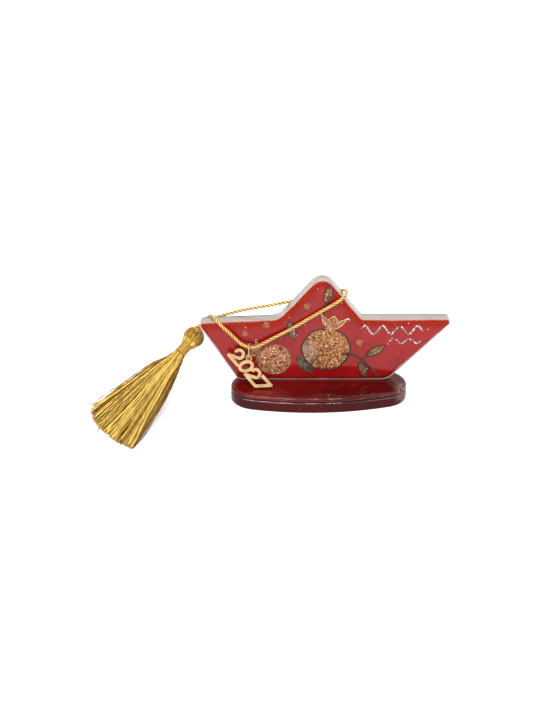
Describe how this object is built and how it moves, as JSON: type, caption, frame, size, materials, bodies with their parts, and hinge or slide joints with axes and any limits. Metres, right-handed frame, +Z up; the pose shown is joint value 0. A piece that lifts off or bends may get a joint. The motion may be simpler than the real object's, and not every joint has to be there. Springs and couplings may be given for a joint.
{
  "type": "lucky charm table ornament",
  "caption": "Upright paper-boat plate of red-enamelled thick glass on an oval dark red glass base, with a gold cord loop carrying a silk tassel and a cast number charm.",
  "frame": {"origin": "on the surface it stands on, under the middle of the boat plate and base, the cord and what hangs on it left out", "axes": "+X along the boat to its right-hand tip as seen from the painted side, +Y away from the painted side, +Z up"},
  "size_m": [0.2187, 0.0807, 0.0751],
  "materials": {
    "base_glass": "deep red fused glass, polished and rounded rims",
    "base_red": "opaque red enamel layer fused between two glass slabs",
    "clear_adhesive": "clear hardened adhesive",
    "edge_glass": "pale grey thick glass with softly fused edges",
    "red_enamel": "glossy hand-painted red enamel, mottled orange towards its top edges",
    "copper_glitter": "raised copper and gold glitter",
    "line_paint": "raised near-black contour paint",
    "leaf_paint": "raised bronze-green glitter paint with dark rim",
    "dark_leaf_paint": "raised dark green paint",
    "silver_glitter": "raised silver glitter paint",
    "gold_flake": "thin leaf-metal flake under the glaze",
    "gold_cord": "twisted golden lurex cord",
    "charm_gold": "satin pale-gold plating",
    "gold_silk": "glossy golden silk threads"
  },
  "bodies": {
    "ornament": {"base_lower_glass": "base_glass", "base_red_layer": "base_red", "base_upper_glass": "base_glass", "glue_line": "clear_adhesive", "boat_plate": "edge_glass", "boat_enamel": "red_enamel", "pomegranate_large": "copper_glitter", "pomegranate_small": "copper_glitter", "crown_large": "copper_glitter", "crown_small": "copper_glitter", "contour_large": "line_paint", "contour_small": "line_paint", "stem_right": "line_paint", "stem_top": "line_paint", "leaf_top": "leaf_paint", "leaf_left": "leaf_paint", "leaf_dark": "dark_leaf_paint", "leaf_right_upper": "leaf_paint", "leaf_right_lower": "leaf_paint", "flourish_upper": "silver_glitter", "flourish_lower": "silver_glitter", "flake_1": "gold_flake", "flake_2": "gold_flake", "flake_3": "gold_flake", "flake_4": "gold_flake"},
    "loop": {"cord_loop": "gold_cord", "cord_knot": "gold_cord"},
    "ring": {"jump_ring": "charm_gold"},
    "charm": {"number_charm": "charm_gold"},
    "head": {"tassel_head": "gold_silk"},
    "skirt": {"tassel_neck": "gold_silk", "tassel_skirt": "gold_silk"}
  },
  "joints": [
    {"name": "loop_lift", "type": "slide", "parent": "ornament", "child": "loop", "axis": [0, 0, 1], "range_m": [0, 0.075]},
    {"name": "ring_swing", "type": "hinge", "parent": "loop", "child": "ring", "pos_m": [-0.0445, -0.0016, 0.0337], "axis": [-1, 0, 0], "range_deg": [0, 70]},
    {"name": "charm_sway", "type": "hinge", "parent": "ring", "child": "charm", "pos_m": [-0.0445, -0.00264, 0.02706], "axis": [0, -0.9336, 0.3584], "range_deg": [0, 45]},
    {"name": "tassel_sweep", "type": "hinge", "parent": "loop", "child": "head", "pos_m": [-0.0752, 0.0156, 0.0371], "axis": [0, 0, 1], "range_deg": [-50, 30]},
    {"name": "skirt_lift", "type": "hinge", "parent": "head", "child": "skirt", "pos_m": [-0.07782, 0.01661, 0.03146], "axis": [-0.7716, 0.6361, 0], "range_deg": [-0.5, 50]}
  ]
}
